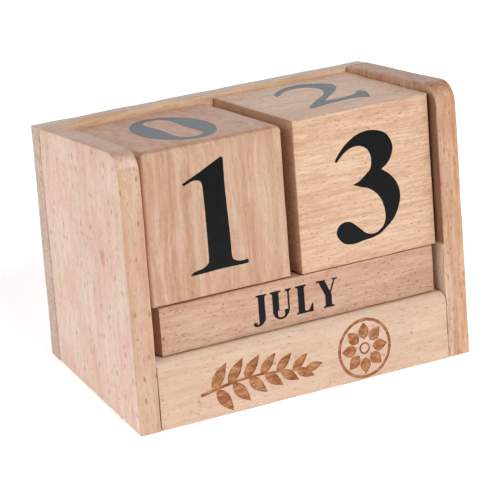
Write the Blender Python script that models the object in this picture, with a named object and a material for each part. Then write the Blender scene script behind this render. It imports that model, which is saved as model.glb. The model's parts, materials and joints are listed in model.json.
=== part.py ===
"""A perpetual block calendar of beech: a leaning tray that holds two number cubes and three month bars.

Metres, +Z up, +X to the reader's right, and the front faces -Y. The origin is on the desk, under
the middle of the holder's bounding box. Every piece hangs from one empty, "lean", whose axes are
the tray's own: X across, Y from the front edges to the back board, Z up along the front. In those
axes the point 0, 0 is the line where the front edges stand on the desk.
"""
import math

import bmesh
import bpy
from mathutils import Matrix, Vector

# ---- driving dimensions, in metres and degrees ----
LEAN = math.radians(13.6)      # how far the whole calendar leans back
WIDTH = 0.0986                 # over both side panels
HEIGHT = 0.0717                # from the front foot line to the top edge, along the lean
PANEL = 0.0060                 # thickness of the left panel, the rail and the floor
PANEL_RIGHT = 0.0065           # the right panel is a little thicker
RIGHT_RISE = (0.0010, 0.0003)  # how far it stands above HEIGHT at its front and at its rear
BACK = 0.0040                  # thickness of the back board
CORNER_RADIUS = 0.0055         # rounded top front corner of each side panel
RAIL_HEIGHT = 0.0178           # front rail, which ends level with the tray floor
RAIL_RADIUS = 0.0022           # its rounded top front edge
SETBACK = 0.0025               # from the panels' front edges back to the cubes' front
CUBE_RIGHT = Vector((0.0407, 0.0392, 0.0400))   # units cube: across, deep, high
CUBE_LEFT = Vector((0.0403, 0.0384, 0.0393))    # tens cube, sanded down a little further
CUBE_GAP = 0.0026              # between the two cubes
BAR_SIDE = 0.0124              # square section of a month bar
BAR_LENGTH = 0.0812
BAR_SPACING = 0.0008           # between neighbouring month bars
RIGHT_PLAY = 0.0005            # between the units cube and the right panel
BAR_PLAY = 0.0015              # between the month bars and the right panel
JOINT_GAP = 0.0003             # glue line between boards
REST_GAP = 0.0002              # under a piece that stands on another
BOARD_EASE = 0.0003            # broken edges of the boards
BAR_EASE = 0.0004
CUBE_RIGHT_EASE = 0.0004
CUBE_LEFT_EASE = 0.0010
DOWEL_RADIUS = 0.0015
DOWEL_LENGTH = 0.0100
DOWEL_IN_PANEL = 0.0036        # how deep a dowel goes into a side panel
DOWEL_CLEARANCE = 0.0003
DOWEL_CHAMFER = 0.0004

# ---- worked out from them ----
BAY_BACK = SETBACK + CUBE_RIGHT.y + JOINT_GAP           # front face of the back board
OVERALL_DEPTH = (BAY_BACK + BACK) * math.cos(LEAN) + HEIGHT * math.sin(LEAN)
WALL_LEFT = PANEL - WIDTH / 2                           # inner face of each side panel
WALL_RIGHT = WIDTH / 2 - PANEL_RIGHT
BOARD_ENDS = (WALL_LEFT + JOINT_GAP, WALL_RIGHT - JOINT_GAP)   # of the rail and of the floor
FLOOR_BOTTOM = RAIL_HEIGHT - PANEL
BAR_BOTTOM = RAIL_HEIGHT + REST_GAP
CUBE_BOTTOM = BAR_BOTTOM + BAR_SIDE + REST_GAP
CUBE_RIGHT_X = WALL_RIGHT - RIGHT_PLAY - CUBE_RIGHT.x   # left face of the units cube
CUBE_LEFT_X = CUBE_RIGHT_X - CUBE_GAP - CUBE_LEFT.x     # left face of the tens cube
BAR_X = WALL_RIGHT - BAR_PLAY - BAR_LENGTH              # left end of the month bars
DOWEL_HOLE = DOWEL_RADIUS + DOWEL_CLEARANCE

ARC_STEPS = 12
DOWEL_SIDES = 20
HOLE_OVERSHOOT = 0.001         # how far a hole cutter stands out of the board it cuts

# places of the dowels in the tray's own Y and Z
RAIL_DOWELS = [(PANEL / 2, RAIL_HEIGHT * share) for share in (0.3, 0.7)]
FLOOR_DOWELS = [(BAY_BACK * share, RAIL_HEIGHT - PANEL / 2) for share in (0.35, 0.78)]


def clear_scene():
    for thing in list(bpy.data.objects):
        bpy.data.objects.remove(thing)


def linear(channel):
    """A 0-255 display value as the linear value a shader takes."""
    share = channel / 255
    return share / 12.92 if share <= 0.04045 else ((share + 0.055) / 1.055) ** 2.4


def wood(name, red, green, blue, roughness=0.55):
    material = bpy.data.materials.new(name)
    material.use_nodes = True
    shader = material.node_tree.nodes["Principled BSDF"]
    shader.inputs["Base Color"].default_value = (linear(red), linear(green), linear(blue), 1)
    shader.inputs["Roughness"].default_value = roughness
    shader.inputs["Metallic"].default_value = 0
    return material


def add_piece(name, shape, parent, material, location=(0, 0, 0)):
    """One named piece made from a bmesh, at a place in its parent's axes."""
    bmesh.ops.recalc_face_normals(shape, faces=shape.faces)
    mesh = bpy.data.meshes.new(name)
    shape.to_mesh(mesh)
    shape.free()
    piece = bpy.data.objects.new(name, mesh)
    bpy.context.scene.collection.objects.link(piece)
    piece.parent = parent
    piece.location = location
    piece.data.materials.append(material)
    return piece


def ease_edges(piece, width, segments):
    """Breaks every sharp edge of a piece."""
    bevel = piece.modifiers.new("eased_edges", "BEVEL")
    bevel.width = width
    bevel.segments = segments
    bevel.limit_method = "ANGLE"
    bevel.angle_limit = math.radians(40)
    return bevel


def prism(outline, x_low, x_high):
    """A bmesh solid: an outline in Y and Z carried along X."""
    shape = bmesh.new()
    corners = [shape.verts.new((x_low, y, z)) for y, z in outline]
    cap = shape.faces.new(corners)
    grown = bmesh.ops.extrude_face_region(shape, geom=[cap])
    moved = [part for part in grown["geom"] if isinstance(part, bmesh.types.BMVert)]
    bmesh.ops.translate(shape, verts=moved, vec=(x_high - x_low, 0, 0))
    return shape


def desk_height(depth):
    """Where the desk lies, in the tray's own Z, at a place that far behind the foot line."""
    return depth * math.tan(LEAN)


def upright_outline(front, rear, top):
    """A board that stands on the desk: its foot is cut on the slant, so that it rests flat."""
    return [(front, desk_height(front)), (rear, desk_height(rear)), (rear, top), (front, top)]


def rounded_outline(rear, front_top, rear_top, radius):
    """A standing board from the side: a slanted foot and one rounded corner at the top front."""
    outline = [(0, 0), (rear, desk_height(rear)), (rear, rear_top)]
    for step in range(ARC_STEPS + 1):
        angle = math.pi / 2 * (1 + step / ARC_STEPS)
        outline.append((radius * (1 + math.cos(angle)), front_top - radius * (1 - math.sin(angle))))
    return outline


def box(size_x, size_y, size_z):
    """A bmesh box that stands on its origin, centred in X and Y."""
    shape = bmesh.new()
    placed = Matrix.Translation((0, 0, size_z / 2)) @ Matrix.Diagonal((size_x, size_y, size_z, 1))
    bmesh.ops.create_cube(shape, size=1, matrix=placed)
    return shape


def rods(shape, radius, low, high, places, chamfer=0.0):
    """Adds round rods along X, from low to high, at each place in Y and Z."""
    rings = [(low, radius - chamfer), (low + chamfer, radius), (high - chamfer, radius),
             (high, radius - chamfer)]
    if not chamfer:
        rings = [(low, radius), (high, radius)]
    for y, z in places:
        loops = []
        for x, size in rings:
            turns = [2 * math.pi * side / DOWEL_SIDES for side in range(DOWEL_SIDES)]
            loops.append([shape.verts.new((x, y + size * math.cos(turn), z + size * math.sin(turn)))
                          for turn in turns])
        for first, second in zip(loops, loops[1:]):
            for side in range(DOWEL_SIDES):
                after = (side + 1) % DOWEL_SIDES
                shape.faces.new((first[side], first[after], second[after], second[side]))
        shape.faces.new(loops[0])
        shape.faces.new(loops[-1])


def dowel_span(side):
    """Where a dowel lies in X, at the left (-1) or the right (1) end of a board."""
    wall = WALL_LEFT if side < 0 else WALL_RIGHT
    outer = wall + side * (DOWEL_IN_PANEL - DOWEL_CLEARANCE)
    ends = (outer, outer - side * DOWEL_LENGTH)
    return min(ends), max(ends)


def drill(piece, parent, places, sides, name):
    """Blind dowel holes across the joint faces at the given ends of a board."""
    shape = bmesh.new()
    for side in sides:
        low, high = dowel_span(side)
        rods(shape, DOWEL_HOLE, low - DOWEL_CLEARANCE, high + DOWEL_CLEARANCE, places)
    cutter = add_piece(name, shape, parent, piece.data.materials[0])
    cutter.hide_render = True
    cutter.display_type = "WIRE"
    cut = piece.modifiers.new("dowel_holes", "BOOLEAN")
    cut.operation = "DIFFERENCE"
    cut.solver = "EXACT"
    cut.object = cutter


def smooth_round(piece, angle=30):
    piece.data.shade_smooth()
    piece.data.set_sharp_from_angle(angle=math.radians(angle))


def make_holder(lean):
    """The five boards of the tray, glued and dowelled."""
    beech = wood("holder_beech", 225, 196, 180)
    right_tops = [HEIGHT + rise for rise in RIGHT_RISE]
    for name, side, ends, tops in (
            ("side_panel_left", -1, (-WIDTH / 2, WALL_LEFT), (HEIGHT, HEIGHT)),
            ("side_panel_right", 1, (WALL_RIGHT, WIDTH / 2), right_tops)):
        outline = rounded_outline(BAY_BACK - JOINT_GAP, *tops, CORNER_RADIUS)
        panel = add_piece(name, prism(outline, *ends), lean, beech.copy())
        ease_edges(panel, BOARD_EASE, 1)
        drill(panel, lean, RAIL_DOWELS + FLOOR_DOWELS, [side], name + "_hole_cutter")

    outline = upright_outline(BAY_BACK, BAY_BACK + BACK, HEIGHT)
    back = add_piece("back_board", prism(outline, -WIDTH / 2, WIDTH / 2), lean,
                     wood("back_board_beech", 222, 188, 160))
    ease_edges(back, BOARD_EASE, 1)

    outline = rounded_outline(PANEL, RAIL_HEIGHT, RAIL_HEIGHT, RAIL_RADIUS)
    rail = add_piece("front_rail", prism(outline, *BOARD_ENDS), lean,
                     wood("front_rail_beech", 231, 200, 177))
    ease_edges(rail, BOARD_EASE, 1)
    drill(rail, lean, RAIL_DOWELS, (-1, 1), "front_rail_hole_cutter")

    front, rear = PANEL + JOINT_GAP, BAY_BACK - JOINT_GAP
    outline = [(front, FLOOR_BOTTOM), (rear, FLOOR_BOTTOM), (rear, RAIL_HEIGHT),
               (front, RAIL_HEIGHT)]
    floor = add_piece("tray_floor", prism(outline, *BOARD_ENDS), lean,
                      wood("tray_floor_beech", 205, 168, 140))
    ease_edges(floor, BOARD_EASE, 1)
    drill(floor, lean, FLOOR_DOWELS, (-1, 1), "tray_floor_hole_cutter")


def make_dowels(lean):
    """The hidden dowels that carry the rail and the floor between the side panels."""
    for board, places in (("rail", RAIL_DOWELS), ("floor", FLOOR_DOWELS)):
        material = wood(board + "_dowel_beech", 214, 178, 140)
        for side, hand in ((-1, "left"), (1, "right")):
            for number, place in enumerate(places, 1):
                shape = bmesh.new()
                rods(shape, DOWEL_RADIUS, *dowel_span(side), [place], DOWEL_CHAMFER)
                name = f"{board}_dowel_{hand}_{number}"
                smooth_round(add_piece(name, shape, lean, material.copy()))


def make_cube(lean, name, size, x_low, ease, material):
    """A loose number cube that stands on the month bars, against the back board."""
    y_middle = BAY_BACK - JOINT_GAP - size.y / 2
    cube = add_piece(name, box(*size), lean, material,
                     (x_low + size.x / 2, y_middle, CUBE_BOTTOM))
    ease_edges(cube, ease, 3)
    smooth_round(cube, 60)


def make_bars(lean):
    """Three loose month bars, side by side on the tray floor under the cubes."""
    for number, name in enumerate(("month_bar_rear", "month_bar_middle", "month_bar_front")):
        rear = BAY_BACK - JOINT_GAP - number * (BAR_SIDE + BAR_SPACING)
        bar = add_piece(name, box(BAR_LENGTH, BAR_SIDE, BAR_SIDE), lean,
                        wood(name + "_beech", 210, 165, 137),
                        (BAR_X + BAR_LENGTH / 2, rear - BAR_SIDE / 2, BAR_BOTTOM))
        ease_edges(bar, BAR_EASE, 2)


def make_calendar():
    clear_scene()
    lean = bpy.data.objects.new("lean", None)
    bpy.context.scene.collection.objects.link(lean)
    lean.location = Vector((0, -OVERALL_DEPTH / 2, 0))
    lean.rotation_euler = (-LEAN, 0, 0)
    make_holder(lean)
    make_dowels(lean)
    make_cube(lean, "cube_left", CUBE_LEFT, CUBE_LEFT_X, CUBE_LEFT_EASE,
              wood("cube_left_beech", 215, 177, 150))
    make_cube(lean, "cube_right", CUBE_RIGHT, CUBE_RIGHT_X, CUBE_RIGHT_EASE,
              wood("cube_right_beech", 233, 194, 164))
    make_bars(lean)


make_calendar()
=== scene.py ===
"""The looks of a perpetual block calendar of beech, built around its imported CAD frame.

Lengths are in metres unless a name says otherwise. Every board and block is rebuilt with eased,
slightly worn edges in the tray's own axes ("tilted" axes: X across, Y towards the back board, Z up
along the leaning front), with each size read from the CAD node that it stands for.
"""
import json
import math

import bmesh
import bpy
from mathutils import Matrix, Vector, noise
from mathutils.geometry import delaunay_2d_cdt


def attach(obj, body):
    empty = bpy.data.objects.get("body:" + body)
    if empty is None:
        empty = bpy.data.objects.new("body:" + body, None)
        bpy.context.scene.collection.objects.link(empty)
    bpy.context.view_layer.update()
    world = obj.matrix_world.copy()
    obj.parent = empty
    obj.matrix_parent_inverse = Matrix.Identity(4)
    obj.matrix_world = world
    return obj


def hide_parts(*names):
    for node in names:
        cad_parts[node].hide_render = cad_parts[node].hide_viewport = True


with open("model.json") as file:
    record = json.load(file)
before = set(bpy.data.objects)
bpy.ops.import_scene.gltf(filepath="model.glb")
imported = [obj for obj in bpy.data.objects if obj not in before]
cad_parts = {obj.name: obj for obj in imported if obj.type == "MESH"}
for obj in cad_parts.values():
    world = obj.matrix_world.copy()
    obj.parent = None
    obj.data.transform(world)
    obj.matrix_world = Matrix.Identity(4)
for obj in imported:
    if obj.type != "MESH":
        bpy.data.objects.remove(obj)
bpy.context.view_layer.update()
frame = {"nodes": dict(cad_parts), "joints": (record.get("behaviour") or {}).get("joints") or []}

MM = 0.001
JOINTS = {joint["name"]: joint for joint in frame["joints"]}
UP = Vector(JOINTS["cube_right_lift"]["axis"]).normalized()
BACK = -Vector(JOINTS["month_bar_front_slide"]["axis"]).normalized()
TILT = Matrix((Vector((1, 0, 0)), BACK, UP)).transposed().to_4x4()
LEAN = math.atan2(UP.y, UP.z)

# ---------------------------------------------------------------- small helpers


def tilted_points(node):
    """A CAD node's points in the tilted axes."""
    turn = TILT.inverted()
    return [turn @ vertex.co for vertex in frame["nodes"][node].data.vertices]


def tilted_box(node):
    """A CAD node's lowest and highest corner in the tilted axes."""
    places = tilted_points(node)
    low = Vector([min(place[axis] for place in places) for axis in range(3)])
    high = Vector([max(place[axis] for place in places) for axis in range(3)])
    return low, high


def linear(channel):
    """A 0-255 display value as the linear value a shader takes."""
    share = channel / 255
    return share / 12.92 if share <= 0.04045 else ((share + 0.055) / 1.055) ** 2.4


def colour(red, green, blue):
    """An opaque colour from its 0-255 display values."""
    return linear(red), linear(green), linear(blue), 1.0


def bake(piece):
    """Applies a piece's modifiers to its mesh."""
    depsgraph = bpy.context.evaluated_depsgraph_get()
    mesh = bpy.data.meshes.new_from_object(piece.evaluated_get(depsgraph))
    piece.modifiers.clear()
    piece.data = mesh


def new_piece(name, shape, material, matrix=TILT):
    """A mesh piece from a bmesh, turned into the world's axes by a matrix."""
    mesh = bpy.data.meshes.new(name)
    shape.to_mesh(mesh)
    shape.free()
    mesh.transform(matrix)
    piece = bpy.data.objects.new(name, mesh)
    bpy.context.scene.collection.objects.link(piece)
    if material:
        mesh.materials.append(material)
    return piece


# ---------------------------------------------------------------- wood and ink


class Nodes:
    """Writes a material's node tree in few lines."""

    def __init__(self, name):
        self.material = bpy.data.materials.new(name)
        self.material.use_nodes = True
        self.tree = self.material.node_tree
        self.shader = self.tree.nodes["Principled BSDF"]

    def add(self, kind, inputs=(), **settings):
        """A new node, with some of its settings and its inputs."""
        node = self.tree.nodes.new(kind)
        for key, value in settings.items():
            setattr(node, key, value)
        for key, value in dict(inputs).items():
            self.put(node.inputs[key], value)
        return node

    def put(self, socket, value):
        """Links another node's output to a socket, or sets the socket's own value."""
        if isinstance(value, bpy.types.NodeSocket):
            self.tree.links.new(value, socket)
        else:
            socket.default_value = value

    def math(self, operation, first, second=0.0):
        node = self.add("ShaderNodeMath", {0: first, 1: second}, operation=operation)
        return node.outputs[0]

    def vector(self, operation, first, second=(0, 0, 0)):
        node = self.add("ShaderNodeVectorMath", {0: first, 1: second}, operation=operation)
        return node.outputs["Value" if operation == "LENGTH" else "Vector"]

    def noise(self, place, detail=2.0, roughness=0.5):
        inputs = {"Vector": place, "Scale": 1.0, "Detail": detail, "Roughness": roughness}
        return self.add("ShaderNodeTexNoise", inputs).outputs["Fac"]

    def between(self, value, low, high, start=0.0, end=1.0):
        """A value carried from low..high to start..end, smoothly and clamped."""
        node = self.add("ShaderNodeMapRange", interpolation_type="SMOOTHSTEP")
        for index, part in enumerate((value, low, high, start, end)):
            self.put(node.inputs[index], part)
        return node.outputs[0]

    def mix(self, factor, first, second, blend="MIX"):
        node = self.add("ShaderNodeMix", data_type="RGBA", blend_type=blend)
        self.put(node.inputs["Factor"], factor)
        self.put(node.inputs["A"], first)
        self.put(node.inputs["B"], second)
        return node.outputs["Result"]

    def shade(self, factor, base, tint):
        """The base multiplied by a tint, as far as the factor says."""
        return self.mix(factor, base, tint, "MULTIPLY")


def tilted(nodes, output):
    """The object coordinates, or the object's normal, turned into the tilted axes."""
    inputs = {"Vector": nodes.add("ShaderNodeTexCoord").outputs[output], "Angle": LEAN}
    return nodes.add("ShaderNodeVectorRotate", inputs, rotation_type="X_AXIS").outputs[0]


def millimetres(nodes):
    """Tilted object coordinates in millimetres."""
    return nodes.vector("MULTIPLY", tilted(nodes, "Object"), (1 / MM, 1 / MM, 1 / MM))


def grain_place(nodes, axes, seed):
    """Coordinates in millimetres, ordered along the grain, across the rings, along them."""
    split = nodes.add("ShaderNodeSeparateXYZ", {0: millimetres(nodes)})
    parts = [split.outputs["XYZ".index(axis)] for axis in axes]
    joined = nodes.add("ShaderNodeCombineXYZ", dict(enumerate(parts))).outputs[0]
    return nodes.vector("ADD", joined, (seed * 31.7, seed * 17.3, seed * 53.9))


def dashes(nodes, place, spacing, size, share):
    """Short marks scattered through the wood: 1 inside a mark, 0 outside, with soft ends."""
    cell = nodes.vector("DIVIDE", place, spacing)
    cells = nodes.add("ShaderNodeTexVoronoi", {"Vector": cell, "Scale": 1.0, "Randomness": 1.0})
    apart = nodes.vector("SUBTRACT", cell, cells.outputs["Position"])
    ratio = [step / reach for step, reach in zip(spacing, size)]
    far = nodes.vector("LENGTH", nodes.vector("MULTIPLY", apart, ratio))
    mark = nodes.between(far, 0.35, 1.0, 1.0, 0.0)
    random = nodes.add("ShaderNodeSeparateColor", {0: cells.outputs["Color"]})
    kept = nodes.between(random.outputs[0], 1 - share, 1 - share + 0.25)
    return nodes.math("MULTIPLY", mark, kept)


def faded(nodes, tone, tint, *ramps):
    """The tone shaded by a tint. Each ramp (axis, start, end, in mm) says where the tint grows."""
    split = nodes.add("ShaderNodeSeparateXYZ", {0: millimetres(nodes)})
    share = 1.0
    for axis, start, end in ramps:
        part = nodes.between(split.outputs[axis], start, end)
        share = nodes.math("MULTIPLY", part, share)
    return nodes.shade(share, tone, (*tint, 1))


# What each mark in the wood multiplies the wood's colour by.
RING = (0.82, 0.68, 0.58, 1)
CLOUD = (0.95, 0.84, 0.80, 1)
YELLOW_PATCH = (0.93, 0.93, 0.82, 1)
PINK_PATCH = (0.97, 0.88, 0.92, 1)
DARK_STREAK = (0.80, 0.66, 0.56, 1)
PALE_STREAK = (1.12, 1.16, 1.20, 1)
FIBRE = (0.80, 0.73, 0.67, 1)
FLECK = (0.54, 0.34, 0.24, 1)
PORE = (0.50, 0.33, 0.24, 1)
WORN = (0.88, 0.78, 0.70, 1)
END_GRAIN = (0.78, 0.71, 0.66, 1)      # cut ends drink in more light than planed sides


def figure(nodes, axes, seed, wave, fineness):
    """The patterns in a piece of beech, by name, from coordinates in millimetres."""
    place = grain_place(nodes, axes, seed)
    bend = nodes.noise(nodes.vector("MULTIPLY", place, (0.045, 0.10, 0.10)), 2.0)
    offset = nodes.math("MULTIPLY", nodes.math("SUBTRACT", bend, 0.5), wave * 6)
    sideways = nodes.add("ShaderNodeCombineXYZ", {1: offset, 2: offset}).outputs[0]
    wavy = nodes.vector("ADD", place, sideways)
    reach = [part * fineness for part in (0.07, 0.8, 0.8)]
    pore = nodes.noise(nodes.vector("MULTIPLY", wavy, (0.8, 2.2, 2.2)), 1.0)
    return {
        "cloud": nodes.noise(nodes.vector("MULTIPLY", place, (0.05, 0.12, 0.12)), 2.0),
        "patch": nodes.noise(nodes.vector("MULTIPLY", place, (0.22, 0.5, 0.5)), 2.0),
        "ring": nodes.noise(nodes.vector("MULTIPLY", wavy, (0.010, 0.36, 0.10)), 3.0, 0.6),
        "streak": nodes.noise(nodes.vector("MULTIPLY", wavy, reach), 4.0, 0.7),
        "fibre": nodes.noise(nodes.vector("MULTIPLY", wavy, (0.55, 2.3, 2.3)), 3.0, 0.7),
        "fleck": dashes(nodes, wavy, (2.8, 1.5, 1.6), (1.15, 0.5, 0.42), 0.5),
        "pore": nodes.between(pore, 0.64, 0.73),
    }


def cut_end(nodes, along):
    """How squarely a surface cuts across the grain, which runs along an axis: 0 to 1."""
    facing = nodes.add("ShaderNodeSeparateXYZ", {0: tilted(nodes, "Normal")})
    return nodes.between(nodes.math("ABSOLUTE", facing.outputs[along]), 0.55, 0.95)


def sanded_surface(nodes, fibre, fleck, pore):
    """The gloss and the fine relief of sanded, unvarnished beech."""
    gloss = nodes.between(fibre, 0.3, 0.7, 0.46, 0.36)
    gloss = nodes.math("ADD", gloss, nodes.math("MULTIPLY", pore, 0.15))
    nodes.put(nodes.shader.inputs["Roughness"], gloss)
    relief = nodes.math("MULTIPLY", fibre, 0.5)
    relief = nodes.math("SUBTRACT", relief, nodes.math("MULTIPLY", pore, 0.5))
    relief = nodes.math("SUBTRACT", relief, nodes.math("MULTIPLY", fleck, 0.3))
    inputs = {"Strength": 0.5, "Distance": 0.06 * MM, "Height": relief}
    bump = nodes.add("ShaderNodeBump", inputs)
    nodes.put(nodes.shader.inputs["Normal"], bump.outputs["Normal"])
    nodes.put(nodes.shader.inputs["IOR"], 1.5)


def beech(name, base, axes, seed, rings=0.5, streaks=0.5, wave=0.5, flecks=0.5, pores=0.5,
          clouds=0.4, fineness=1.0, fades=()):
    """Sanded beech. axes orders X, Y and Z as along the grain, across the rings, along them.

    rings, streaks, flecks, pores and clouds say how strongly each shows, wave how far the grain
    bends and fineness how fine the streaks are. Each of the fades is a tint and its ramps.
    """
    nodes = Nodes(name)
    marks = figure(nodes, axes, seed, wave, fineness)
    patch, streak = marks["patch"], marks["streak"]
    worn = nodes.add("ShaderNodeAttribute", attribute_name="wear").outputs["Fac"]
    tone = base
    for share, tint in ((nodes.between(marks["ring"], 0.42, 0.62, 0, rings), RING),
                        (nodes.between(marks["cloud"], 0.32, 0.68, 0, clouds), CLOUD),
                        (nodes.between(patch, 0.50, 0.68, 0, clouds), YELLOW_PATCH),
                        (nodes.between(patch, 0.50, 0.34, 0, clouds), PINK_PATCH),
                        (nodes.between(streak, 0.44, 0.60, 0, streaks), DARK_STREAK),
                        (nodes.between(streak, 0.50, 0.34, 0, streaks), PALE_STREAK),
                        (nodes.between(marks["fibre"], 0.48, 0.66, 0, streaks), FIBRE),
                        (nodes.math("MULTIPLY", marks["fleck"], flecks), FLECK),
                        (nodes.math("MULTIPLY", marks["pore"], pores), PORE),
                        (nodes.math("MULTIPLY", worn, 0.3), WORN),
                        (cut_end(nodes, "XYZ".index(axes[0])), END_GRAIN)):
        tone = nodes.shade(share, tone, tint)
    for fade in fades:
        tone = faded(nodes, tone, *fade)
    nodes.put(nodes.shader.inputs["Base Color"], tone)
    sanded_surface(nodes, marks["fibre"], marks["fleck"], marks["pore"])
    return nodes.material


def ink():
    """Matt black screen-printing ink, thin over the wood's grain."""
    nodes = Nodes("print_ink")
    place = millimetres(nodes)
    coarse = nodes.noise(nodes.vector("MULTIPLY", place, (0.5, 0.5, 0.5)), 3.0)
    fine = nodes.noise(nodes.vector("MULTIPLY", place, (3.5, 3.5, 3.5)), 3.0, 0.7)
    tone = nodes.mix(nodes.between(coarse, 0.3, 0.7), colour(3, 3, 4), colour(9, 10, 12))
    tone = nodes.mix(nodes.between(fine, 0.62, 0.74, 0, 0.3), tone, colour(70, 52, 40))
    nodes.put(nodes.shader.inputs["Base Color"], tone)
    nodes.put(nodes.shader.inputs["Roughness"], nodes.between(fine, 0.3, 0.7, 0.20, 0.28))
    bump = nodes.add("ShaderNodeBump", {"Strength": 0.4, "Distance": 0.03 * MM, "Height": fine})
    nodes.put(nodes.shader.inputs["Normal"], bump.outputs["Normal"])
    nodes.put(nodes.shader.inputs["IOR"], 1.31)
    nodes.put(nodes.shader.inputs["Specular Tint"], (1.0, 0.97, 0.98, 1))
    return nodes.material


def burnt_wood():
    """The floor of the burnt ornament: scorched beech, lighter where the iron pressed less."""
    nodes = Nodes("burnt_mark")
    place = millimetres(nodes)
    coarse = nodes.noise(nodes.vector("MULTIPLY", place, (0.35, 0.9, 0.9)), 3.0, 0.6)
    fine = nodes.noise(nodes.vector("MULTIPLY", place, (1.2, 4.0, 4.0)), 3.0, 0.7)
    tone = nodes.mix(nodes.between(coarse, 0.35, 0.65), colour(160, 92, 48), colour(205, 145, 98))
    tone = nodes.shade(nodes.between(fine, 0.48, 0.66, 0, 0.8), tone, (0.60, 0.44, 0.34, 1))
    nodes.put(nodes.shader.inputs["Base Color"], tone)
    nodes.put(nodes.shader.inputs["Roughness"], nodes.between(fine, 0.3, 0.7, 0.62, 0.8))
    bump = nodes.add("ShaderNodeBump", {"Strength": 0.6, "Distance": 0.05 * MM, "Height": fine})
    nodes.put(nodes.shader.inputs["Normal"], bump.outputs["Normal"])
    return nodes.material


# ---------------------------------------------------------------- boards and blocks

EDGE_SEGMENTS = 4
CELL = 2.6 * MM                # spacing of the grid that every surface is cut into
FACE_SWELL = 0.02 * MM         # how far sanding leaves a flat face uneven
EDGE_WEAR = 0.12 * MM          # how far a worn edge is rubbed away
BROAD, SMALL = 0.11, 0.45      # scales of the unevenness, in cycles for each millimetre
SHARP = math.radians(30)       # an edge that turns more than this gets rounded
FLAT = math.radians(3)         # a point whose faces all turn less than this isn't on an edge
CORNER_RADIUS = 5.5 * MM       # of the side panels, top front
RAIL_RADIUS = 2.2 * MM         # of the rail, top front
CORNER_STEPS = 16


def slab(outline, low, high):
    """A closed solid: an outline in Y and Z carried along X from low to high."""
    shape = bmesh.new()
    cap = shape.faces.new([shape.verts.new((low, y, z)) for y, z in outline])
    grown = bmesh.ops.extrude_face_region(shape, geom=[cap])
    moved = [part for part in grown["geom"] if isinstance(part, bmesh.types.BMVert)]
    bmesh.ops.translate(shape, verts=moved, vec=(high - low, 0, 0))
    bmesh.ops.recalc_face_normals(shape, faces=shape.faces)
    return shape


def rectangle(low, high):
    """The outline of a plain block."""
    return [(low.y, low.z), (high.y, low.z), (high.y, high.z), (low.y, high.z)]


def foot(y):
    """Where the desk lies under a place, in the tilted axes."""
    return y * math.tan(LEAN)


def standing(low, high):
    """A board whose foot is cut on the slant, so that it rests flat on the desk."""
    return [(low.y, foot(low.y)), (high.y, foot(high.y)), (high.y, high.z), (low.y, high.z)]


def rear_top(node, rear):
    """How high a CAD node reaches, in the tilted axes, near its rear face."""
    return max(place.z for place in tilted_points(node) if place.y > rear - 1.0 * MM)


def rounded_front(node, radius):
    """Makes a standing board's outline, with its top front corner rounded."""
    def outline(low, high):
        corners = standing(low, high)[:2] + [(high.y, rear_top(node, high.y))]
        for step in range(CORNER_STEPS + 1):
            angle = math.pi / 2 * (1 + step / CORNER_STEPS)
            corners.append((low.y + radius * (1 + math.cos(angle)),
                            high.z - radius * (1 - math.sin(angle))))
        return corners
    return outline


def cut_into_cells(shape, low, high):
    """Cuts a solid into a grid, so that its surface can be worn and rings stay even."""
    for axis in range(3):
        count = max(1, round((high[axis] - low[axis]) / CELL))
        normal = Vector([float(axis == other) for other in range(3)])
        for step in range(1, count):
            place = low.copy()
            place[axis] += (high[axis] - low[axis]) * step / count
            parts = list(shape.verts) + list(shape.edges) + list(shape.faces)
            bmesh.ops.bisect_plane(shape, geom=parts, plane_co=place, plane_no=normal,
                                   dist=1e-6)


def wear_surface(shape, flat, seed):
    """Rubs edges away unevenly and leaves flat faces a little uneven. Returns the wear per vertex."""
    worn = []
    shape.normal_update()
    for vertex in shape.verts:
        edge = 0.0 if vertex.index in flat else 1.0
        place = vertex.co / MM + Vector((seed * 7.1, seed * 3.3, seed * 5.7))
        broad = noise.noise(place * BROAD)
        small = noise.noise(place * SMALL)
        rub = max(0.0, 0.45 + 0.9 * broad + 0.6 * small) * EDGE_WEAR * edge
        vertex.co -= vertex.normal * (rub + FACE_SWELL * (0.5 + 0.5 * broad))
        worn.append(min(1.0, edge * (0.55 + 0.6 * broad + 0.5 * small)))
    return worn


def eased(shape, low, high, ease, foot_share):
    """Rounds every sharp edge, the foot's edges by a share of the ease that the top's get."""
    weights = shape.edges.layers.float.new("bevel_weight_edge")
    for edge in shape.edges:
        if edge.calc_face_angle(0) > SHARP:
            height = ((edge.verts[0].co + edge.verts[1].co).z / 2 - low.z) / (high.z - low.z)
            edge[weights] = foot_share + (1 - foot_share) * min(1.0, max(0.0, height))
    solid = new_piece("eased_solid", shape, None, Matrix.Identity(4))
    bevel = solid.modifiers.new("eased_edges", "BEVEL")
    bevel.limit_method = "WEIGHT"
    bevel.width = ease
    bevel.segments = EDGE_SEGMENTS
    bpy.context.view_layer.update()
    bake(solid)
    rounded = bmesh.new()
    rounded.from_mesh(solid.data)
    bpy.data.objects.remove(solid)
    return rounded


def worn_piece(name, outline, low, high, ease, material, seed, foot_share=0.8):
    """A board or block with rounded, worn edges that stands for the CAD node of that name."""
    shape = eased(slab(outline, low.x, high.x), low, high, ease, foot_share)
    cut_into_cells(shape, low, high)
    shape.normal_update()
    shape.verts.index_update()
    flat = {vertex.index for vertex in shape.verts
            if all(face.normal.angle(vertex.normal, 0) < FLAT for face in vertex.link_faces)}
    worn = wear_surface(shape, flat, seed)
    piece = new_piece(name + "_worn", shape, material)
    attribute = piece.data.attributes.new("wear", "FLOAT", "POINT")
    attribute.data.foreach_set("value", worn)
    piece.data.shade_smooth()
    normals = piece.modifiers.new("flat_faces_stay_flat", "WEIGHTED_NORMAL")
    normals.keep_sharp = False
    normals.weight = 80
    return piece


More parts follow.
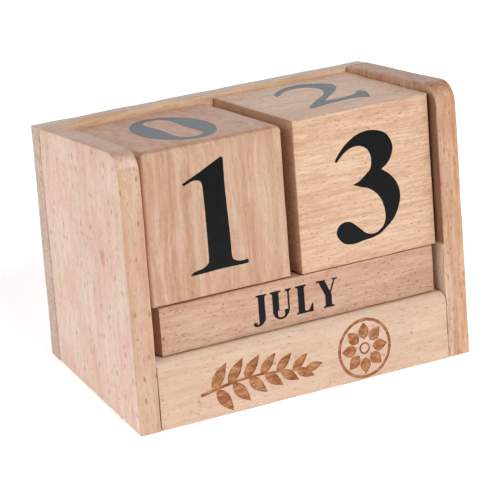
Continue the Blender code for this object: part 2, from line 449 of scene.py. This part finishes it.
def stands_for(piece, node, body):
    """Puts a piece on a body, in place of a CAD node."""
    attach(piece, body)
    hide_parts(node)
    return piece


# ---------------------------------------------------------------- lettering

# Every figure and letter is drawn one unit high.
THICK, THIN = 0.26, 0.07       # widths of a letter's heavy and light strokes
SERIF, REACH = 0.055, 0.085    # a serif's thickness, and how far it reaches past its stroke
ARC_STEP = math.radians(9)     # longest turn between two points of a round stroke
CURVE_STEPS = 7                # points from one node of a curve to the next
DISC_SIDES = 14


def block(x0, x1, y0, y1):
    """An upright rectangle."""
    return [(x0, y0), (x1, y0), (x1, y1), (x0, y1)]


def slant(x0, x1, width, y0=0.0, y1=1.0):
    """A straight slanting stroke, cut level at both ends. x0 and x1 are its left edges."""
    return [[(x0, y0), (x0 + width, y0), (x1 + width, y1), (x1, y1)]]


def serif(left, right, y, inward):
    """A serif over a stroke's end: a thin bar with curved brackets. inward is 1 up or -1 down."""
    tip = y + inward * SERIF
    bar = block(left - REACH, right + REACH, min(y, tip), max(y, tip))
    rise = REACH * 0.75
    bracket = []
    for edge, side in ((left, -1), (right, 1)):
        bend = [(edge + side * rise * (1 - math.sin(turn * math.pi / 8)),
                 tip + inward * rise * (1 - math.cos(turn * math.pi / 8))) for turn in range(5)]
        bracket.append([(edge, tip)] + bend)
    return [bar, *bracket]


def stem(x, width=THICK, bottom=True, top=True, y0=0.0, y1=1.0):
    """An upright stroke with serifs."""
    parts = [block(x, x + width, y0, y1)]
    parts += serif(x, x + width, y0, 1) if bottom else []
    parts += serif(x, x + width, y1, -1) if top else []
    return parts


def bowl(cx, cy, rx, ry, start=0, end=360, thick=THICK, thin=THIN):
    """A round stroke, thick at its sides and thin at its top and bottom. Angles in degrees."""
    first, last = math.radians(start), math.radians(end)
    count = max(2, round(abs(last - first) / ARC_STEP))
    rings = []
    for step in range(count + 1):
        angle = first + (last - first) * step / count
        width = thin + (thick - thin) * abs(math.cos(angle)) ** 1.6
        outer = (cx + rx * math.cos(angle), cy + ry * math.sin(angle))
        inner = (cx + (rx - width) * math.cos(angle), cy + (ry - thin) * math.sin(angle))
        rings.append((outer, inner))
    return [[a[0], b[0], b[1], a[1]] for a, b in zip(rings, rings[1:])]


def disc(x, y, radius):
    """A round dot."""
    turns = [2 * math.pi * side / DISC_SIDES for side in range(DISC_SIDES)]
    return [[(x + radius * math.cos(turn), y + radius * math.sin(turn)) for turn in turns]]


def curve(a, b, c, d):
    """Points from b up to, but not at, c on a smooth curve through a, b, c and d."""
    points = []
    for step in range(CURVE_STEPS):
        t = step / CURVE_STEPS
        weights = (-t + 2 * t ** 2 - t ** 3, 2 - 5 * t ** 2 + 3 * t ** 3,
                   t + 4 * t ** 2 - 3 * t ** 3, t ** 3 - t ** 2)
        points.append([sum(weight * point[axis] for weight, point in zip(weights, (a, b, c, d))) / 2
                       for axis in range(len(b))])
    return points


def brush(*nodes):
    """A stroke of changing width through nodes (x, y, width), with round ends."""
    padded = [nodes[0], *nodes, nodes[-1]]
    path = [point for four in zip(padded, padded[1:], padded[2:], padded[3:])
            for point in curve(*four)] + [nodes[-1]]
    parts = []
    for here, after in zip(path, path[1:]):
        run = Vector((after[0] - here[0], after[1] - here[1])).normalized()
        corners = [(point[0] - side * run.y * point[2] / 2, point[1] + side * run.x * point[2] / 2)
                   for point, side in ((here, 1), (here, -1), (after, -1), (after, 1))]
        parts += [corners] + disc(*here[:2], here[2] / 2)
    return parts + disc(*path[-1][:2], path[-1][2] / 2)


def rounded(*points):
    """A closed shape with a smooth outline. A point given twice is a sharp corner."""
    ring = [points[-1], *points, points[0], points[1]]
    outline = []
    for four in zip(ring, ring[1:], ring[2:], ring[3:]):
        if four[1] != four[2]:
            outline += curve(*four)
    return [outline]


def twice(*point):
    """A point given twice, for a sharp corner."""
    return point, point


def arm(x0, x1, y, inward, depth=0.2):
    """A thin level arm whose end widens to a wedge, as on E, F, L and T."""
    reach = abs(x1 - x0)
    side = 1 if x1 > x0 else -1
    edge = y + inward * THIN
    bar = block(min(x0, x1), max(x0, x1), min(y, edge), max(y, edge))
    wedge = [(x1 - side * reach * 0.45, edge), (x1 - side * 0.035, y + inward * depth),
             (x1, y + inward * depth), (x1, edge)]
    return [bar, wedge]


def middle_arm(x0, x1, y=0.51):
    """The short middle arm of E and F."""
    tip = [(x1 - 0.07, y), (x1 - 0.02, y + 0.13), (x1, y + 0.13), (x1, y - 0.13),
           (x1 - 0.02, y - 0.13)]
    return [block(x0, x1, y - THIN / 2, y + THIN / 2), tip]


T = THICK
# Each figure or letter: its width and its strokes.
GLYPHS = {
    "0": (0.69, bowl(0.345, 0.5, 0.345, 0.49, thick=0.232, thin=0.08)),
    "1": (0.60, rounded(*twice(0.0, 0.825), (0.18, 0.90), (0.31, 0.96), *twice(0.40, 1.0),
                        *twice(0.42, 0.985), (0.42, 0.68), (0.435, 0.30), (0.44, 0.10),
                        (0.475, 0.055), (0.53, 0.04), (0.59, 0.042), (0.60, 0.022),
                        (0.58, 0.006), (0.34, 0.008), (0.05, 0.0), (0.03, 0.015),
                        (0.06, 0.033), (0.14, 0.045), (0.19, 0.075), (0.207, 0.13),
                        (0.206, 0.45), (0.20, 0.72), (0.188, 0.805), (0.15, 0.832),
                        (0.10, 0.834), *twice(0.018, 0.805))),
    "2": (0.71, rounded(*twice(0.03, 0.685), (0.065, 0.78), (0.17, 0.885), (0.31, 0.955),
                        (0.44, 0.965), (0.55, 0.91), (0.635, 0.825), (0.66, 0.73), (0.61, 0.59),
                        (0.505, 0.46), (0.39, 0.353), *twice(0.25, 0.217), (0.36, 0.198),
                        (0.48, 0.212), (0.58, 0.245), (0.645, 0.31), (0.695, 0.334),
                        (0.71, 0.26), (0.66, 0.12), *twice(0.61, 0.03), (0.55, 0.078),
                        (0.47, 0.102), (0.32, 0.097), (0.17, 0.077), *twice(0.01, 0.03),
                        *twice(0.0, 0.075), (0.06, 0.15), (0.22, 0.30), (0.34, 0.404),
                        (0.42, 0.507), (0.465, 0.60), (0.475, 0.70), (0.435, 0.80),
                        (0.335, 0.855), (0.21, 0.83), *twice(0.09, 0.72))),
    "3": (0.69, rounded((0.035, 0.79), (0.09, 0.86), (0.165, 0.925), (0.27, 0.98), (0.38, 1.0),
                        (0.48, 0.985), (0.57, 0.945), (0.625, 0.87), (0.64, 0.79), (0.61, 0.71),
                        (0.565, 0.66), *twice(0.51, 0.625), (0.595, 0.56), (0.66, 0.475),
                        (0.69, 0.38), (0.68, 0.29), (0.635, 0.19), (0.58, 0.125), (0.51, 0.075),
                        (0.45, 0.038), (0.375, 0.02), (0.29, 0.012), (0.20, 0.0), (0.125, 0.004),
                        (0.06, 0.03), (0.015, 0.085), (0.0, 0.135), (0.02, 0.18), (0.065, 0.21),
                        (0.13, 0.212), (0.19, 0.18), (0.245, 0.13), (0.295, 0.085), (0.345, 0.06),
                        (0.405, 0.056), (0.46, 0.08), (0.505, 0.125), (0.523, 0.20),
                        (0.51, 0.29), (0.48, 0.365), (0.425, 0.43), (0.36, 0.475), (0.29, 0.50),
                        *twice(0.20, 0.535), (0.275, 0.56), (0.35, 0.612), (0.392, 0.65),
                        (0.407, 0.71), (0.402, 0.77), (0.375, 0.827), (0.32, 0.866),
                        (0.265, 0.878), (0.205, 0.872), (0.145, 0.848), (0.09, 0.805),
                        (0.045, 0.765))),
    "4": (0.70, [block(0.36, 0.58, 0, 1), block(0.0, 0.70, 0.22, 0.36),
                 [(0.0, 0.30), (0.09, 0.30), (0.42, 0.86), (0.42, 1.0)]]),
    "5": (0.66, [[(0.13, 0.80), (0.58, 0.80), (0.64, 1.0), (0.60, 0.97), (0.13, 0.97)],
                 [(0.13, 0.97), (0.06, 0.55), (0.10, 0.55), (0.19, 0.82)]]
                + brush((0.08, 0.56, 0.03), (0.24, 0.61, 0.11), (0.44, 0.52, 0.20),
                        (0.52, 0.34, 0.22), (0.46, 0.16, 0.14), (0.32, 0.06, 0.07),
                        (0.21, 0.07, 0.11), (0.11, 0.10, 0.17))),
    "6": (0.66, bowl(0.33, 0.31, 0.33, 0.31, thick=0.20, thin=0.05)
                + brush((0.60, 0.97, 0.035), (0.42, 0.90, 0.07), (0.24, 0.73, 0.14),
                        (0.13, 0.52, 0.19), (0.105, 0.32, 0.20))),
    "7": (0.66, [[(0.0, 0.72), (0.04, 0.72), (0.11, 0.80), (0.54, 0.80), (0.64, 1.0),
                  (0.05, 1.0)]]
                + brush((0.56, 0.90, 0.10), (0.43, 0.66, 0.13), (0.32, 0.40, 0.18),
                        (0.28, 0.12, 0.20))),
    "8": (0.66, bowl(0.33, 0.755, 0.27, 0.245, thick=0.16, thin=0.05)
                + bowl(0.33, 0.275, 0.33, 0.275, thick=0.18, thin=0.05)),
    "A": (0.86, slant(0.05, 0.38, THIN) + slant(0.55, 0.28, T) + serif(0.05, 0.11, 0, 1)
                + serif(0.56, 0.76, 0, 1) + [block(0.15, 0.6, 0.30, 0.36)]),
    "B": (0.76, stem(REACH) + bowl(0.36, 0.76, 0.33, 0.24, -90, 90)
                + bowl(0.36, 0.27, 0.38, 0.27, -90, 90)
                + [block(0.28, 0.37, y, y + THIN) for y in (0, 0.94, 0.48)]),
    "C": (0.74, bowl(0.40, 0.5, 0.40, 0.52, 42, 318) + [block(0.66, 0.70, 0.66, 1.0)]
                + brush((0.66, 0.22, 0.06), (0.71, 0.30, 0.03))),
    "D": (0.84, stem(REACH) + bowl(0.38, 0.5, 0.44, 0.5, -90, 90)
                + [block(0.28, 0.39, y, y + THIN) for y in (0, 0.938)]),
    "E": (0.72, stem(REACH) + arm(0.28, 0.68, 0, 1, 0.26) + arm(0.28, 0.66, 1, -1, 0.24)
                + middle_arm(0.28, 0.54)),
    "F": (0.68, stem(REACH) + arm(0.28, 0.66, 1, -1, 0.26) + middle_arm(0.28, 0.54)),
    "G": (0.84, bowl(0.40, 0.5, 0.40, 0.52, 42, 318) + [block(0.66, 0.70, 0.66, 1.0)]
                + stem(0.56, T, bottom=False, y0=0.03, y1=0.44)),
    "H": (0.88, stem(REACH) + stem(0.58) + [block(0.29, 0.60, 0.48, 0.48 + THIN)]),
    "I": (0.40, stem(REACH)),
    "J": (0.55, stem(0.23, bottom=False, y0=0.1)
                + brush((0.36, 0.14, 0.26), (0.30, 0.0, 0.14), (0.18, -0.07, 0.06),
                        (0.075, 0.0, 0.15))),
    "L": (0.70, stem(REACH) + arm(0.28, 0.68, 0, 1, 0.30)),
    "M": (1.06, stem(REACH, THIN) + slant(0.44, 0.10, T) + slant(0.46, 0.76, THIN)
                + stem(0.74)),
    "N": (0.86, stem(REACH, THIN) + slant(0.52, 0.09, T) + stem(0.70, THIN, bottom=False)),
    "O": (0.82, bowl(0.41, 0.5, 0.41, 0.52)),
    "P": (0.70, stem(REACH) + bowl(0.36, 0.72, 0.33, 0.28, -90, 90)
                + [block(0.28, 0.37, y, y + THIN) for y in (0.44, 0.938)]),
    "R": (0.80, stem(REACH) + bowl(0.36, 0.74, 0.32, 0.26, -90, 90)
                + [block(0.28, 0.37, y, y + THIN) for y in (0.48, 0.938)]
                + slant(0.56, 0.32, T, 0, 0.5) + [block(0.54, 0.83, 0, SERIF)]),
    "S": (0.60, brush((0.53, 0.80, 0.03), (0.42, 0.94, 0.07), (0.26, 0.97, 0.09),
                      (0.13, 0.86, 0.15), (0.16, 0.70, 0.20), (0.34, 0.52, 0.23),
                      (0.47, 0.32, 0.20), (0.44, 0.12, 0.15), (0.28, 0.03, 0.08),
                      (0.12, 0.07, 0.06), (0.04, 0.22, 0.03))),
    "T": (0.76, stem(0.27, top=False) + arm(0.38, 0.74, 1, -1, 0.25)
                + arm(0.38, 0.02, 1, -1, 0.25)),
    "U": (0.86, stem(REACH, bottom=False, y0=0.3) + stem(0.69, THIN, bottom=False, y0=0.3)
                + bowl(0.415, 0.30, 0.335, 0.32, 180, 360, thick=0.20)),
    "V": (0.86, slant(0.32, 0.07, T) + slant(0.40, 0.70, THIN) + serif(0.08, 0.28, 1, -1)
                + serif(0.70, 0.76, 1, -1)),
    "Y": (0.84, slant(0.33, 0.06, T, 0.42, 1) + slant(0.46, 0.70, THIN, 0.42, 1)
                + stem(0.32, top=False, y1=0.45) + serif(0.07, 0.27, 1, -1)
                + serif(0.70, 0.76, 1, -1)),
}
LETTER_SPACE = 0.155           # between two letters, in heights


def word(text, height, centre):
    """A word's polygons, with that cap height, centred on a point."""
    total = sum(GLYPHS[letter][0] for letter in text) + LETTER_SPACE * (len(text) - 1)
    left, parts = -total / 2, []
    for letter in text:
        width, strokes = GLYPHS[letter]
        parts += [[((left + x) * height + centre[0], (y - 0.5) * height + centre[1])
                   for x, y in stroke] for stroke in strokes]
        left += width + LETTER_SPACE
    return parts


INK_STEP = 0.35 * MM           # longest stretch of outline between two points
INK_BLEED = 0.05 * MM          # how unevenly ink runs at its edge
BLEED_SCALE = 1.7              # how often it does, for each millimetre
INK_DEPTH = 0.05 * MM          # ink sunk into the wood
INK_HEIGHT = 0.01 * MM         # ink standing proud of it


def refined(polygon, step):
    """The polygon with points added along its long sides."""
    points = []
    for start, end in zip(polygon, polygon[1:] + polygon[:1]):
        reach = math.dist(start, end)
        count = max(1, math.ceil(reach / step))
        points += [tuple(a + (b - a) * part / count for a, b in zip(start, end))
                   for part in range(count)]
    return points


def uneven(point, amount, seed):
    """A point moved a little, by up to an amount."""
    place = Vector((point[0], point[1], seed * MM)) / MM * BLEED_SCALE
    return Vector((point[0] + amount * noise.noise(place),
                   point[1] + amount * noise.noise(place + Vector((9, 4, 2)))))


def area(points):
    """A polygon's area, above 0 if it runs anticlockwise."""
    return sum(a[0] * b[1] - b[0] * a[1] for a, b in zip(points, points[1:] + points[:1])) / 2


def flat_union(polygons, step, bleed, seed):
    """One flat mesh that covers every polygon once: its points and its triangles."""
    points, loops = [], []
    for polygon in polygons:
        ring = refined(polygon, step)
        if area(ring) < 0:
            ring.reverse()
        loops.append(list(range(len(points), len(points) + len(ring))))
        points += [uneven(point, bleed, seed) for point in ring]
    made = delaunay_2d_cdt(points, [], loops, 1, 1e-7)
    return made[0], [face for face, source in zip(made[2], made[5]) if source]


def stamp(shape, polygons, matrix, below, above, step=INK_STEP, bleed=INK_BLEED, seed=0):
    """Adds a thin solid over the polygons' shape: a face frame's X right, Y up and Z outward."""
    points, faces = flat_union(polygons, step, bleed, seed)
    levels = []
    for height in (-below, above):
        levels.append([shape.verts.new(matrix @ Vector((*point, height))) for point in points])
    edges = {}
    for face in faces:
        shape.faces.new([levels[1][index] for index in face])
        shape.faces.new([levels[0][index] for index in reversed(face)])
        for pair in zip(face, face[1:] + face[:1]):
            edges[pair] = True
    for first, second in edges:
        if (second, first) not in edges:
            shape.faces.new((levels[0][first], levels[0][second], levels[1][second],
                             levels[1][first]))
    loose = [vertex for vertex in shape.verts if not vertex.link_faces]
    bmesh.ops.delete(shape, geom=loose, context="VERTS")


def face_frame(low, high, side):
    """The frame of one side of a block: X to its reader's right, Y up, Z out of the wood."""
    right, up = {"front": ((1, 0, 0), (0, 0, 1)), "back": ((-1, 0, 0), (0, 0, 1)),
                 "left": ((0, -1, 0), (0, 0, 1)), "right": ((0, 1, 0), (0, 0, 1)),
                 "top": ((1, 0, 0), (0, 1, 0)), "bottom": ((1, 0, 0), (0, -1, 0))}[side]
    right, up = Vector(right), Vector(up)
    out = right.cross(up)
    centre = (low + high) / 2
    half = (high - low) / 2
    centre += Vector([out[axis] * half[axis] for axis in range(3)])
    turn = Matrix((right, up, out)).transposed().to_4x4()
    return Matrix.Translation(centre) @ turn


def ink_piece(name, marks, body, material):
    """All the printing on one block. marks holds (polygons, face frame) pairs."""
    shape = bmesh.new()
    for seed, (polygons, matrix) in enumerate(marks):
        stamp(shape, polygons, matrix, INK_DEPTH, INK_HEIGHT, seed=seed)
    piece = new_piece(name, shape, material)
    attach(piece, body)
    return piece


# ---------------------------------------------------------------- the burnt ornament

CUT_STEP = 0.6 * MM            # longest stretch of outline between two points
CUT_BLEED = 0.03 * MM          # how uneven the iron's edge is
LEAF_STEPS = 8                 # stretches in each side of a leaf


def leaf(x, y, length, width, angle):
    """A pointed leaf that grows from a point."""
    turn = math.radians(angle)
    outline = []
    for side in (1, -1):
        for step in range(LEAF_STEPS):
            share = step / LEAF_STEPS if side > 0 else 1 - step / LEAF_STEPS
            across = side * width / 2 * math.sin(math.pi * share ** 0.8)
            outline.append((x + length * share * math.cos(turn) - across * math.sin(turn),
                            y + length * share * math.sin(turn) + across * math.cos(turn)))
    return outline


def sprig(x0, x1, y, rise, pairs):
    """A bent stalk with pairs of leaves, growing to the right. In millimetres."""
    def stalk(share):
        return x0 + (x1 - x0) * share, y + rise * math.sin(math.pi * share) * 0.5

    nodes = [(*stalk(step / 5), 0.9 - 0.6 * step / 5) for step in range(6)]
    parts = brush(*nodes)
    for pair in range(pairs):
        share = 0.10 + 0.78 * pair / (pairs - 1)
        x, height = stalk(share)
        size = 8.2 - 2.6 * share
        parts.append(leaf(x, height, size, size * 0.42, 58 - 24 * share))
        parts.append(leaf(x + 1.2, height, size, size * 0.42, -58 + 34 * share))
    parts.append(leaf(*stalk(1.0), 5.5, 2.4, 8))
    return parts


def rosette(x, y, radius, petals):
    """A round flower of pointed petals inside a thin ring. In millimetres."""
    parts = bowl(x, y, radius, radius, thick=0.8, thin=0.8)
    parts += bowl(x, y, radius * 0.2, radius * 0.2, thick=0.5, thin=0.5)
    for petal in range(petals):
        angle = 360 * petal / petals
        start = radius * 0.30
        parts.append(leaf(x + start * math.cos(math.radians(angle)),
                          y + start * math.sin(math.radians(angle)),
                          radius * 0.56, radius * 0.40, angle))
    return parts


def in_millimetres(polygons):
    """Polygons drawn in millimetres, in metres."""
    return [[(x * MM, y * MM) for x, y in polygon] for polygon in polygons]


def engrave(piece, polygons, matrix, depth, material):
    """Cuts the polygons' shape into a piece and gives the floor of the cut its own material."""
    shape = bmesh.new()
    stamp(shape, polygons, matrix, depth, depth, CUT_STEP, CUT_BLEED)
    bmesh.ops.recalc_face_normals(shape, faces=shape.faces)
    cutter = new_piece("ornament_cutter", shape, material)
    cut = piece.modifiers.new("ornament", "BOOLEAN")
    cut.operation = "DIFFERENCE"
    cut.solver = "EXACT"
    cut.material_mode = "TRANSFER"
    cut.object = cutter
    bpy.context.view_layer.update()
    bake(piece)
    bpy.data.objects.remove(cutter)


# ---------------------------------------------------------------- building the calendar

# Places for the fades, in millimetres in the tilted axes.
FRONT = tilted_box("side_panel_left")[0].y / MM
TOP = tilted_box("back_board")[1].z / MM
BOARD_END = tilted_box("back_board")[0].x / MM
WALL = tilted_box("side_panel_right")[0].x / MM
RAIL_TOP = tilted_box("front_rail")[1].z / MM
CUBE_TOP = tilted_box("cube_right")[1].z / MM
TENS_TOP = tilted_box("cube_left")[1].z / MM
BAR_TOP = tilted_box("month_bar_front")[1].z / MM
FRONT_EDGE = ("Y", FRONT + 0.5, FRONT + 0.2)
INNER_WALL = (("X", WALL + 0.5, WALL + 0.15), ("Y", FRONT + 10.0, FRONT + 4.0))

INK = ink()
BURNT = burnt_wood()
STAIN = ((0.88, 0.62, 0.49), ("Y", -19.2, -17.9), ("Y", -15.8, -17.1),
         ("Z", 33.4, 35.4), ("Z", 39.2, 37.2))         # a small orange-brown spot
LEFT_PANEL_FADES = [((0.87, 0.80, 0.71), FRONT_EDGE),                 # a darker front edge
                    ((1.0, 0.975, 0.93), ("Z", 25.0, 50.0)),          # warmer towards the top
                    STAIN]
RIGHT_PANEL_FADES = [((0.38, 0.31, 0.27), *INNER_WALL,                # painted shade beside the cube
                      ("Z", CUBE_TOP + 1.0, CUBE_TOP - 1.5), ("Z", BAR_TOP, BAR_TOP + 1.0)),
                     ((1.15, 1.35, 1.50), *INNER_WALL,                # painted light beside the bars
                      ("Z", BAR_TOP + 1.0, BAR_TOP)),
                     ((1.0, 0.93, 0.82), ("X", WALL + 3.0, WALL + 5.5)),  # orange outside
                     ((1.04, 1.10, 1.14), ("Z", 32.0, 12.0))]         # paler towards the foot
BACK_BOARD_FADES = [((0.95, 1.02, 1.28), ("X", BOARD_END + 1.3, BOARD_END + 0.5)),  # grey end
                    ((0.79, 0.81, 0.85), ("Z", TOP - 0.4, TOP - 0.1))]              # painted shade: a darker, greyer top
RAIL_FADES = [((1.12, 1.23, 1.26), ("Z", RAIL_TOP - 1.6, RAIL_TOP - 0.2))]  # painted light on the rounded top edge
LEFT_CUBE_FADES = [((1.18, 1.13, 1.15), ("Z", TENS_TOP - 0.5, TENS_TOP - 0.1))]  # painted light: a paler top
RIGHT_CUBE_FADES = [((0.93, 0.90, 0.92), ("Z", CUBE_TOP - 0.5, CUBE_TOP - 0.1))]  # painted shade: a darker top
WOODS = {
    "side_panel_left": beech("side_panel_left_beech", colour(243, 215, 197), "ZXY", 1,
                             rings=0.22, streaks=0.25, flecks=0.7, pores=0.45, clouds=0.9,
                             fades=LEFT_PANEL_FADES),
    "side_panel_right": beech("side_panel_right_beech", colour(230, 190, 161), "ZXY", 2,
                              rings=0.6, streaks=0.6, wave=0.4, pores=0.6,
                              fades=RIGHT_PANEL_FADES),
    "back_board": beech("back_board_beech", colour(248, 220, 188), "XZY", 3, rings=0.3,
                        flecks=0.1, pores=0.2, fades=BACK_BOARD_FADES),
    "front_rail": beech("front_rail_beech", colour(233, 202, 177), "XYZ", 4, rings=0.15,
                        streaks=0.25, wave=0.2, flecks=0.1, fades=RAIL_FADES),
    "tray_floor": beech("tray_floor_beech", colour(214, 174, 146), "XZY", 5),
    "cube_left": beech("cube_left_beech", colour(224, 187, 160), "ZXY", 6, rings=0.6,
                       streaks=0.45, wave=1.0, flecks=0.1, pores=0.3, fineness=0.7,
                       fades=LEFT_CUBE_FADES),
    "cube_right": beech("cube_right_beech", colour(242, 206, 175), "XZY", 7, rings=0.35,
                        wave=0.25, flecks=0.15, pores=0.6, fineness=1.6,
                        fades=RIGHT_CUBE_FADES),
    "month_bar": beech("month_bar_beech", colour(223, 184, 159), "XYZ", 8, rings=0.35,
                       wave=0.3, flecks=0.35, pores=0.8),
    "dowel": beech("dowel_beech", colour(214, 178, 140), "XYZ", 9),
}
DOWELS = sorted(name for name in frame["nodes"] if "_dowel_" in name)

BOARD_EASE, PANEL_EASE, BAR_EASE = 0.25 * MM, 0.4 * MM, 0.3 * MM
BAR_FOOT = 0.4                 # share of the ease that a bar's lower edges get
CUBE_EASES = {"cube_left": (1.5 * MM, 0.25), "cube_right": (0.4 * MM, 0.7)}   # with foot's share
NUMERAL_HEIGHT = 28.6 * MM
MONTH_HEIGHT = 7.4 * MM
MONTH_OFFSET = -1.45 * MM      # the names stand a little left of the middle
ORNAMENT_DEPTH = 0.22 * MM
JOINT_GAP = 0.3 * MM           # what the CAD leaves between two boards
GLUE_LINE = 0.02 * MM          # what the glue leaves of it


def glued(node, low, high):
    """A board's box, grown across its glued joints until only the glue lines are left."""
    grow = JOINT_GAP - GLUE_LINE
    if node in ("front_rail", "tray_floor"):
        return low - Vector((grow, 0, 0)), high + Vector((grow, 0, 0))
    if node == "back_board":
        return low - Vector((0, grow, 0)), high
    return low, high


def build_board(node, outline, seed, ease=BOARD_EASE):
    """One board of the holder. outline makes its side view from its box."""
    low, high = glued(node, *tilted_box(node))
    piece = worn_piece(node, outline(low, high), low, high, ease, WOODS[node], seed)
    return stands_for(piece, node, "holder")


def build_holder():
    """The boards of the tray, with the ornament on the rail, and the dowels between them."""
    for seed, node in enumerate(("side_panel_left", "side_panel_right"), 1):
        build_board(node, rounded_front(node, CORNER_RADIUS), seed, ease=PANEL_EASE)
    build_board("back_board", standing, 3)
    build_board("tray_floor", rectangle, 5)
    rail = build_board("front_rail", rounded_front("front_rail", RAIL_RADIUS), 4)
    low, high = tilted_box("front_rail")
    marks = sprig(x0=-31.0, x1=-1.0, y=-2.2, rise=3.4, pairs=6)
    marks += rosette(x=17.2, y=-0.5, radius=8.0, petals=8)
    engrave(rail, in_millimetres(marks), face_frame(low, high, "front"), ORNAMENT_DEPTH, BURNT)
    for name in DOWELS:
        frame["nodes"][name].data.materials.clear()
        frame["nodes"][name].data.materials.append(WOODS["dowel"])


def build_cube(node, seed, numerals):
    """A number cube. numerals holds each side's figure and where its middle lies, in mm."""
    low, high = tilted_box(node)
    ease, foot_share = CUBE_EASES[node]
    piece = worn_piece(node, rectangle(low, high), low, high, ease, WOODS[node], seed, foot_share)
    stands_for(piece, node, node)
    marks = [(word(numeral, NUMERAL_HEIGHT, (x * MM, y * MM)), face_frame(low, high, side))
             for side, (numeral, x, y) in numerals.items()]
    ink_piece(node + "_numerals", marks, node, INK)


def build_bar(node, seed, months):
    """A month bar, with the names on its front, top, back and bottom."""
    low, high = tilted_box(node)
    piece = worn_piece(node, rectangle(low, high), low, high, BAR_EASE, WOODS["month_bar"], seed,
                       foot_share=BAR_FOOT)
    stands_for(piece, node, node)
    marks = [(word(month, MONTH_HEIGHT, (MONTH_OFFSET, 0)), face_frame(low, high, side))
             for side, month in zip(("front", "top", "back", "bottom"), months)]
    ink_piece(node + "_names", marks, node, INK)


build_holder()
build_cube("cube_left", 6, {"front": ("1", -0.65, 0.65), "top": ("0", -0.8, -1.3),
                            "back": ("7", 0, 0), "left": ("6", 0, 0), "right": ("2", 0, 0),
                            "bottom": ("8", 0, 0)})
build_cube("cube_right", 7, {"front": ("3", 0.4, -0.75), "top": ("2", 0.5, 1.4),
                             "back": ("1", 0, 0), "left": ("0", 0, 0), "right": ("4", 0, 0),
                             "bottom": ("5", 0, 0)})
build_bar("month_bar_front", 8, ("JULY", "AUGUST", "MAY", "JUNE"))
build_bar("month_bar_middle", 9, ("MARCH", "APRIL", "JANUARY", "FEBRUARY"))
build_bar("month_bar_rear", 10, ("NOVEMBER", "DECEMBER", "SEPTEMBER", "OCTOBER"))

# ---------------------------------------------------------------- desk, light and camera

DESK_HALF = 0.8                # half the desk's width
DESK_CELLS = 8
DESK_COLOUR = (0.88, 0.88, 0.88, 1)
DESK_GLOW = 0.6                # makes a pale desk as white as a studio's lit backdrop


def build_floor():
    """A plain pale desk top."""
    shape = bmesh.new()
    bmesh.ops.create_grid(shape, x_segments=DESK_CELLS, y_segments=DESK_CELLS, size=DESK_HALF)
    nodes = Nodes("pale_desk")
    nodes.put(nodes.shader.inputs["Base Color"], DESK_COLOUR)
    nodes.put(nodes.shader.inputs["Roughness"], 0.9)
    nodes.put(nodes.shader.inputs["Emission Color"], (1, 1, 1, 1))
    nodes.put(nodes.shader.inputs["Emission Strength"], DESK_GLOW)
    floor = new_piece("desk", shape, nodes.material, Matrix.Identity(4))


LIGHT_AIM = Vector((0, 0, 0.03))       # the middle of the calendar


def area_light(name, place, size, power):
    """A round soft light: metres and watts."""
    light = bpy.data.lights.new(name, "AREA")
    light.shape = "DISK"
    light.size = size
    light.energy = power
    lamp = bpy.data.objects.new(name, light)
    bpy.context.scene.collection.objects.link(lamp)
    lamp.location = place
    lamp.rotation_euler = (LIGHT_AIM - Vector(place)).to_track_quat("-Z", "Y").to_euler()


SKY = (0.88, 0.94, 1.0, 1)
HORIZON, OVERHEAD = 1.04, 0.2          # the studio's brightness low down and straight above
DIM_SIDE, DIM = (-0.56, -0.83, 0.0), 0.1       # where it is dimmer, and by what factor


def build_world():
    """A studio that is white behind the object near the horizon, and dim in front and above."""
    world = bpy.data.worlds.new("studio")
    world.use_nodes = True
    tree = world.node_tree
    place = tree.nodes.new("ShaderNodeTexCoord")
    parts = []
    for towards, low, high, strength in (((0, 0, 1), 0.05, 0.75, OVERHEAD),
                                         (DIM_SIDE, -0.2, 0.7, DIM)):
        along = tree.nodes.new("ShaderNodeVectorMath")
        along.operation = "DOT_PRODUCT"
        along.inputs[1].default_value = towards
        tree.links.new(place.outputs["Generated"], along.inputs[0])
        ramp = tree.nodes.new("ShaderNodeMapRange")
        for index, value in enumerate((low, high, HORIZON, strength), 1):
            ramp.inputs[index].default_value = value
        tree.links.new(along.outputs["Value"], ramp.inputs[0])
        parts.append(ramp.outputs[0])
    both = tree.nodes.new("ShaderNodeMath")
    both.operation = "MULTIPLY"
    for index, part in enumerate(parts):
        tree.links.new(part, both.inputs[index])
    tree.links.new(both.outputs[0], tree.nodes["Background"].inputs["Strength"])
    tree.nodes["Background"].inputs["Color"].default_value = SKY
    bpy.context.scene.world = world


CAMERA_AIM = Vector((0.0001, 0.0019, 0.0259))
CAMERA_DISTANCE = 0.776        # from the aim
CAMERA_AZIMUTH, CAMERA_ELEVATION, CAMERA_ROLL = (math.radians(angle) for angle in
                                                 (-32.34, 26.97, 3.14))
CAMERA_LENS = 216.3            # in millimetres, for the sensor's width
CAMERA_SENSOR = 36.0


def build_camera():
    """The camera, aimed at the calendar from in front, to the left and above."""
    camera = bpy.data.objects.new("camera", bpy.data.cameras.new("camera"))
    bpy.context.scene.collection.objects.link(camera)
    level = math.cos(CAMERA_ELEVATION)
    back = Vector((math.sin(CAMERA_AZIMUTH) * level, -math.cos(CAMERA_AZIMUTH) * level,
                   math.sin(CAMERA_ELEVATION)))
    turn = (-back).to_track_quat("-Z", "Y").to_matrix() @ Matrix.Rotation(CAMERA_ROLL, 3, "Z")
    camera.location = CAMERA_AIM + back * CAMERA_DISTANCE
    camera.rotation_euler = turn.to_euler()
    camera.data.lens = CAMERA_LENS
    camera.data.sensor_width = CAMERA_SENSOR
    camera.data.clip_start, camera.data.clip_end = 0.05, 20.0
    bpy.context.scene.camera = camera


build_floor()
build_world()
area_light("key", (0.22, -0.88, 1.12), 0.8, 11.5)
area_light("left light", (-1.3, 0.1, 0.6), 0.6, 4.2)
build_camera()
bpy.context.scene.view_settings.view_transform = "Standard"
